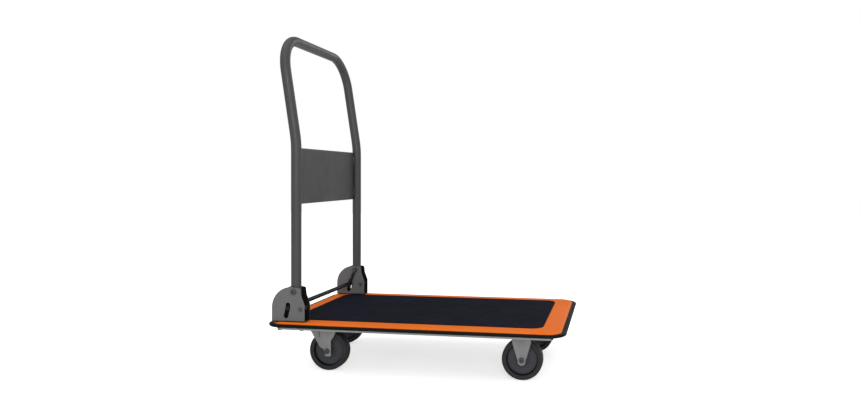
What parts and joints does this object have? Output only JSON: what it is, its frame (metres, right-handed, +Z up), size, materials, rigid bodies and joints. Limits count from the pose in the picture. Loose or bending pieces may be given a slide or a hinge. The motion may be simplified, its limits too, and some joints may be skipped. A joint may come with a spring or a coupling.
{
  "type": "folding platform cart",
  "caption": "Folding platform cart: flat steel deck with a mat and edge bumper, swivel and fixed casters, and a tube handle that unlocks and folds flat over the deck.",
  "frame": {"origin": "on the floor, under the middle of the deck and its bumper", "axes": "+X to the front of the deck, away from the handle; +Y to the left of a person pushing; +Z up"},
  "size_m": [0.74, 0.48, 0.8552],
  "materials": {
    "deck_paint": "orange powder coat, semi-gloss",
    "mat_vinyl": "navy-black ribbed vinyl, low sheen",
    "bumper_rubber": "dark grey extruded PVC",
    "frame_paint": "mid grey powder coat",
    "bracket_paint": "mid grey powder coat",
    "handle_paint": "dark grey powder coat, fine texture",
    "panel_paint": "dark grey powder coat, fine texture",
    "lock_bar_paint": "black paint",
    "spring_steel": "dark spring wire",
    "bolt_zinc": "dull zinc plate",
    "caster_plating": "dull zinc-plated pressed sheet",
    "ball_steel": "polished bearing steel",
    "bush_nylon": "natural nylon",
    "tyre_rubber": "dark grey solid rubber",
    "wheel_core_plastic": "dark grey moulded plastic"
  },
  "bodies": {
    "chassis": {"deck_pan": "deck_paint", "deck_mat": "mat_vinyl", "edge_bumper": "bumper_rubber", "cross_member_rear": "frame_paint", "cross_member_middle": "frame_paint", "cross_member_front": "frame_paint", "bracket_bolts": "bolt_zinc", "bracket_nuts": "bolt_zinc", "stop_rivets": "bolt_zinc", "pivot_bolts": "bolt_zinc", "pivot_nuts": "bolt_zinc", "caster_bolts": "bolt_zinc", "caster_nuts": "bolt_zinc", "king_pins": "bolt_zinc", "front_axle_bolts": "bolt_zinc", "front_axle_nuts": "bolt_zinc", "front_axle_sleeves": "bolt_zinc", "side_rail_left": "frame_paint", "hinge_bracket_left": "bracket_paint", "return_spring_left": "spring_steel", "swivel_plate_left": "caster_plating", "rigid_fork_left": "caster_plating", "side_rail_right": "frame_paint", "hinge_bracket_right": "bracket_paint", "return_spring_right": "spring_steel", "swivel_plate_right": "caster_plating", "rigid_fork_right": "caster_plating"},
    "handle": {"handle_tube": "handle_paint", "handle_panel": "panel_paint", "pivot_bush_left": "bush_nylon", "pivot_bush_right": "bush_nylon"},
    "lock_bar": {"lock_bar": "lock_bar_paint", "lock_bar_clips": "spring_steel"},
    "rear_swivel_left": {"swivel_fork_left": "caster_plating", "swivel_balls_left": "ball_steel", "rear_axle_bolt_left": "bolt_zinc", "rear_axle_nut_left": "bolt_zinc", "rear_axle_sleeve_left": "bolt_zinc"},
    "rear_swivel_right": {"swivel_fork_right": "caster_plating", "swivel_balls_right": "ball_steel", "rear_axle_bolt_right": "bolt_zinc", "rear_axle_nut_right": "bolt_zinc", "rear_axle_sleeve_right": "bolt_zinc"},
    "rear_wheel_left": {"rear_tyre_left": "tyre_rubber", "rear_wheel_core_left": "wheel_core_plastic", "rear_wheel_bush_left": "bush_nylon"},
    "rear_wheel_right": {"rear_tyre_right": "tyre_rubber", "rear_wheel_core_right": "wheel_core_plastic", "rear_wheel_bush_right": "bush_nylon"},
    "front_wheel_left": {"front_tyre_left": "tyre_rubber", "front_wheel_core_left": "wheel_core_plastic", "front_wheel_bush_left": "bush_nylon"},
    "front_wheel_right": {"front_tyre_right": "tyre_rubber", "front_wheel_core_right": "wheel_core_plastic", "front_wheel_bush_right": "bush_nylon"}
  },
  "joints": [
    {"name": "handle_fold", "type": "hinge", "parent": "chassis", "child": "handle", "pos_m": [-0.297, 0, 0.208], "axis": [0, 1, 0], "range_deg": [0, 98]},
    {"name": "lock_bar_slide", "type": "slide", "parent": "chassis", "child": "lock_bar", "axis": [-0.2305, 0, -0.9731], "range_m": [0, 0.01983], "deforming": ["return_spring_left", "return_spring_right"]},
    {"name": "rear_swivel_left_turn", "type": "hinge", "parent": "chassis", "child": "rear_swivel_left", "pos_m": [-0.2695, 0.1395, 0.11], "axis": [0, 0, 1], "continuous": true},
    {"name": "rear_wheel_left_spin", "type": "hinge", "parent": "rear_swivel_left", "child": "rear_wheel_left", "pos_m": [-0.303, 0.1395, 0.05], "axis": [0, 1, 0], "continuous": true},
    {"name": "front_wheel_left_spin", "type": "hinge", "parent": "chassis", "child": "front_wheel_left", "pos_m": [0.2595, 0.1395, 0.05], "axis": [0, 1, 0], "continuous": true},
    {"name": "rear_swivel_right_turn", "type": "hinge", "parent": "chassis", "child": "rear_swivel_right", "pos_m": [-0.2695, -0.1395, 0.11], "axis": [0, 0, 1], "continuous": true},
    {"name": "rear_wheel_right_spin", "type": "hinge", "parent": "rear_swivel_right", "child": "rear_wheel_right", "pos_m": [-0.236, -0.1395, 0.05], "axis": [0, 1, 0], "continuous": true},
    {"name": "front_wheel_right_spin", "type": "hinge", "parent": "chassis", "child": "front_wheel_right", "pos_m": [0.2595, -0.1395, 0.05], "axis": [0, 1, 0], "continuous": true}
  ],
  "couplings": [
    {"joint": "lock_bar_slide", "follows": "handle_fold", "m_per_rad": 0.011416}
  ]
}
